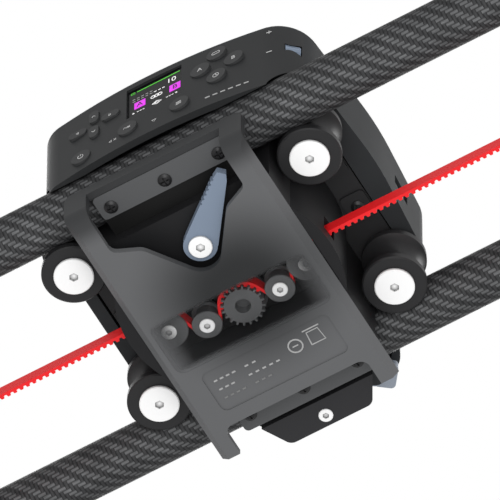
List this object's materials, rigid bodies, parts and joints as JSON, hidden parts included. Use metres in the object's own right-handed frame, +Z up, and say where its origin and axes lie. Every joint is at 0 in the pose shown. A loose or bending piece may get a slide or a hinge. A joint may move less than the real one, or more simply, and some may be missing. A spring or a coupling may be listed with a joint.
{
  "type": "camera slider",
  "caption": "Motorised two-tube camera slider with belt-driven carriage, control panel, clutch lever and turning camera platform.",
  "frame": {"origin": "on the floor plane under the middle of the rail", "axes": "+X along the tubes, +Y across them with the control panel at -Y, +Z up"},
  "size_m": [0.9, 0.176, 0.1107],
  "materials": {
    "carbon_tube": "satin carbon twill",
    "end_block": "fine black anodise",
    "end_cap": "matte moulded",
    "black_screw": "black oxide",
    "pale_screw": "bright satin",
    "stop_rubber": "soft rubber",
    "foot": "rubber faced",
    "jaw": "satin",
    "belt": "red urethane",
    "roller": "turned acetal",
    "bearing": "ground",
    "pulley": "dark anodise",
    "idler": "dark anodise",
    "motor": "black can",
    "frame": "matte black",
    "cover": "fine matte grey",
    "smoked": "smoked clear",
    "housing": "fine matte charcoal",
    "panel": "fine matte charcoal",
    "screen": "gloss display",
    "key": "soft key",
    "lever_metal": "blue-grey anodise",
    "board": "solder mask",
    "battery": "shrink wrap",
    "platform": "black anodise",
    "stud": "plated"
  },
  "bodies": {
    "rail": {"tube_front": "carbon_tube", "tube_rear": "carbon_tube", "end_block_left": "end_block", "end_block_right": "end_block", "end_caps": "end_cap", "tube_clamp_screws": "black_screw", "bumpers": "stop_rubber", "belt_clamps": "jaw", "belt_left_run": "belt", "belt_right_run": "belt"},
    "carriage": {"chassis_frame": "frame", "base_cover": "cover", "drive_window": "smoked", "tube_guards": "cover", "cover_screws": "black_screw", "chassis_plate": "frame", "carriage_housing": "housing", "housing_lid": "housing", "control_panel": "panel", "display_screen": "screen", "roller_bolts": "pale_screw", "roller_bearings": "bearing", "drive_motor": "motor", "motor_screws": "black_screw", "socket_screws": "pale_screw", "belt_loop": "belt", "rear_bracket": "frame", "battery_door": "housing", "battery_pack": "battery", "control_board": "board"},
    "foot_left_front": {"foot_left_front": "foot"},
    "roller_left_front": {"roller_left_front": "roller"},
    "foot_left_rear": {"foot_left_rear": "foot"},
    "roller_left_rear": {"roller_left_rear": "roller"},
    "foot_right_front": {"foot_right_front": "foot"},
    "roller_right_front": {"roller_right_front": "roller"},
    "foot_right_rear": {"foot_right_rear": "foot"},
    "roller_right_rear": {"roller_right_rear": "roller"},
    "drive_pulley": {"drive_pulley": "pulley"},
    "large_idler_left": {"large_idler_left": "idler"},
    "small_idler_left": {"small_idler_left": "idler"},
    "large_idler_right": {"large_idler_right": "idler"},
    "small_idler_right": {"small_idler_right": "idler"},
    "clutch_lever": {"clutch_lever": "lever_metal"},
    "battery_latch": {"battery_latch": "lever_metal"},
    "thumbwheel": {"thumbwheel": "lever_metal"},
    "pan_head": {"pan_platform": "platform", "camera_stud": "stud"},
    "up_button": {"up_button": "key"},
    "down_button": {"down_button": "key"},
    "left_button": {"left_button": "key"},
    "right_button": {"right_button": "key"},
    "power_button": {"power_button": "key"},
    "mode_button": {"mode_button": "key"},
    "menu_button": {"menu_button": "key"},
    "point_a_button": {"point_a_button": "key"},
    "point_b_button": {"point_b_button": "key"},
    "loop_button": {"loop_button": "key"},
    "ok_button": {"ok_button": "key"}
  },
  "joints": [
    {"name": "carriage_slide", "type": "slide", "parent": "rail", "child": "carriage", "axis": [1, 0, 0], "range_m": [-0.33, 0.33], "deforming": ["belt_left_run", "belt_right_run", "belt_loop"]},
    {"name": "foot_left_front_screw", "type": "slide", "parent": "rail", "child": "foot_left_front", "axis": [0, 0, -1], "range_m": [0, 0.008]},
    {"name": "roller_left_front_spin", "type": "hinge", "parent": "carriage", "child": "roller_left_front", "pos_m": [-0.055, -0.0345, 0.044], "axis": [0, 0, 1], "continuous": true},
    {"name": "foot_left_rear_screw", "type": "slide", "parent": "rail", "child": "foot_left_rear", "axis": [0, 0, -1], "range_m": [0, 0.008]},
    {"name": "roller_left_rear_spin", "type": "hinge", "parent": "carriage", "child": "roller_left_rear", "pos_m": [-0.055, 0.0345, 0.044], "axis": [0, 0, 1], "continuous": true},
    {"name": "foot_right_front_screw", "type": "slide", "parent": "rail", "child": "foot_right_front", "axis": [0, 0, -1], "range_m": [0, 0.008]},
    {"name": "roller_right_front_spin", "type": "hinge", "parent": "carriage", "child": "roller_right_front", "pos_m": [0.055, -0.0345, 0.044], "axis": [0, 0, 1], "continuous": true},
    {"name": "foot_right_rear_screw", "type": "slide", "parent": "rail", "child": "foot_right_rear", "axis": [0, 0, -1], "range_m": [0, 0.008]},
    {"name": "roller_right_rear_spin", "type": "hinge", "parent": "carriage", "child": "roller_right_rear", "pos_m": [0.055, 0.0345, 0.044], "axis": [0, 0, 1], "continuous": true},
    {"name": "pulley_spin", "type": "hinge", "parent": "carriage", "child": "drive_pulley", "pos_m": [0, 0.0071, 0.027], "axis": [0, 0, 1], "continuous": true},
    {"name": "large_idler_left_spin", "type": "hinge", "parent": "carriage", "child": "large_idler_left", "pos_m": [-0.032, 0.0025, 0.027], "axis": [0, 0, 1], "continuous": true},
    {"name": "small_idler_left_spin", "type": "hinge", "parent": "carriage", "child": "small_idler_left", "pos_m": [-0.017, 0.0076, 0.027], "axis": [0, 0, 1], "continuous": true},
    {"name": "large_idler_right_spin", "type": "hinge", "parent": "carriage", "child": "large_idler_right", "pos_m": [0.032, 0.0025, 0.027], "axis": [0, 0, 1], "continuous": true},
    {"name": "small_idler_right_spin", "type": "hinge", "parent": "carriage", "child": "small_idler_right", "pos_m": [0.017, 0.0076, 0.027], "axis": [0, 0, 1], "continuous": true},
    {"name": "clutch_swing", "type": "hinge", "parent": "carriage", "child": "clutch_lever", "pos_m": [0, -0.0272, 0.0214], "axis": [0, 0, 1], "range_deg": [-89, 0]},
    {"name": "latch_swing", "type": "hinge", "parent": "carriage", "child": "battery_latch", "pos_m": [0.022, 0.0765, 0.0534], "axis": [0, 0, 1], "range_deg": [0, 90]},
    {"name": "thumbwheel_turn", "type": "hinge", "parent": "carriage", "child": "thumbwheel", "pos_m": [0.05636, -0.05448, 0.074], "axis": [0.7071, 0.7071, 0], "continuous": true},
    {"name": "pan_turn", "type": "hinge", "parent": "carriage", "child": "pan_head", "pos_m": [0, 0, 0.094], "axis": [0, 0, 1], "continuous": true},
    {"name": "up_press", "type": "slide", "parent": "carriage", "child": "up_button", "axis": [0, 1, 0], "range_m": [0, 0.0006], "stiffness_N_per_m": 1500, "springref_m": -0.0003},
    {"name": "down_press", "type": "slide", "parent": "carriage", "child": "down_button", "axis": [0, 1, 0], "range_m": [0, 0.0006], "stiffness_N_per_m": 1500, "springref_m": -0.0003},
    {"name": "left_press", "type": "slide", "parent": "carriage", "child": "left_button", "axis": [0, 1, 0], "range_m": [0, 0.0006], "stiffness_N_per_m": 1500, "springref_m": -0.0003},
    {"name": "right_press", "type": "slide", "parent": "carriage", "child": "right_button", "axis": [0, 1, 0], "range_m": [0, 0.0006], "stiffness_N_per_m": 1500, "springref_m": -0.0003},
    {"name": "power_press", "type": "slide", "parent": "carriage", "child": "power_button", "axis": [0, 1, 0], "range_m": [0, 0.0006], "stiffness_N_per_m": 1500, "springref_m": -0.0003},
    {"name": "mode_press", "type": "slide", "parent": "carriage", "child": "mode_button", "axis": [0, 1, 0], "range_m": [0, 0.0006], "stiffness_N_per_m": 1500, "springref_m": -0.0003},
    {"name": "menu_press", "type": "slide", "parent": "carriage", "child": "menu_button", "axis": [0, 1, 0], "range_m": [0, 0.0006], "stiffness_N_per_m": 1500, "springref_m": -0.0003},
    {"name": "point_a_press", "type": "slide", "parent": "carriage", "child": "point_a_button", "axis": [0, 1, 0], "range_m": [0, 0.0006], "stiffness_N_per_m": 1500, "springref_m": -0.0003},
    {"name": "point_b_press", "type": "slide", "parent": "carriage", "child": "point_b_button", "axis": [0, 1, 0], "range_m": [0, 0.0006], "stiffness_N_per_m": 1500, "springref_m": -0.0003},
    {"name": "loop_press", "type": "slide", "parent": "carriage", "child": "loop_button", "axis": [0, 1, 0], "range_m": [0, 0.0006], "stiffness_N_per_m": 1500, "springref_m": -0.0003},
    {"name": "ok_press", "type": "slide", "parent": "carriage", "child": "ok_button", "axis": [0, 1, 0], "range_m": [0, 0.0006], "stiffness_N_per_m": 1500, "springref_m": -0.0003}
  ],
  "couplings": [
    {"joint": "roller_left_front_spin", "follows": "carriage_slide", "rad_per_m": -103.09},
    {"joint": "roller_left_rear_spin", "follows": "carriage_slide", "rad_per_m": 103.09},
    {"joint": "roller_right_front_spin", "follows": "carriage_slide", "rad_per_m": -103.09},
    {"joint": "roller_right_rear_spin", "follows": "carriage_slide", "rad_per_m": 103.09},
    {"joint": "pulley_spin", "follows": "carriage_slide", "rad_per_m": -104.72},
    {"joint": "large_idler_left_spin", "follows": "carriage_slide", "rad_per_m": -145.35},
    {"joint": "small_idler_left_spin", "follows": "carriage_slide", "rad_per_m": 171.82},
    {"joint": "large_idler_right_spin", "follows": "carriage_slide", "rad_per_m": -145.35},
    {"joint": "small_idler_right_spin", "follows": "carriage_slide", "rad_per_m": 171.82}
  ]
}
